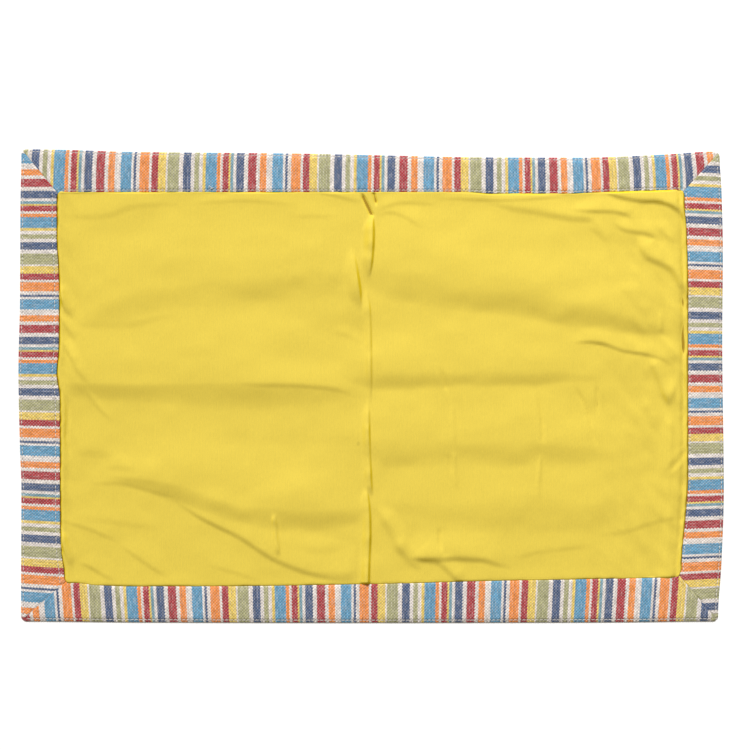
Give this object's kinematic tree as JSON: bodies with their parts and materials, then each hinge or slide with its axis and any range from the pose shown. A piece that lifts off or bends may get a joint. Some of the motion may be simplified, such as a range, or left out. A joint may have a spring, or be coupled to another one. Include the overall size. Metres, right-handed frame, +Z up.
{
  "type": "fabric placemat",
  "caption": "Rectangular cloth placemat lying flat: a plain yellow woven panel with soft fold creases, inside a mitred border of striped cloth strips.",
  "frame": {"origin": "on the surface the mat lies on, under the middle of its outline", "axes": "+X along the mat's length, +Y across it towards the top border, +Z up out of the face that shows"},
  "size_m": [0.459, 0.308, 0.0039],
  "materials": {
    "panel_cloth": "plain-woven yellow cotton, matt, softly creased",
    "border_cloth": "yarn-dyed cotton stripes in white, blue, navy, red, orange, olive and yellow, matt"
  },
  "bodies": {
    "root": {"centre_panel": "panel_cloth", "border_top": "border_cloth", "border_bottom": "border_cloth", "border_left": "border_cloth", "border_right": "border_cloth"}
  },
  "joints": []
}
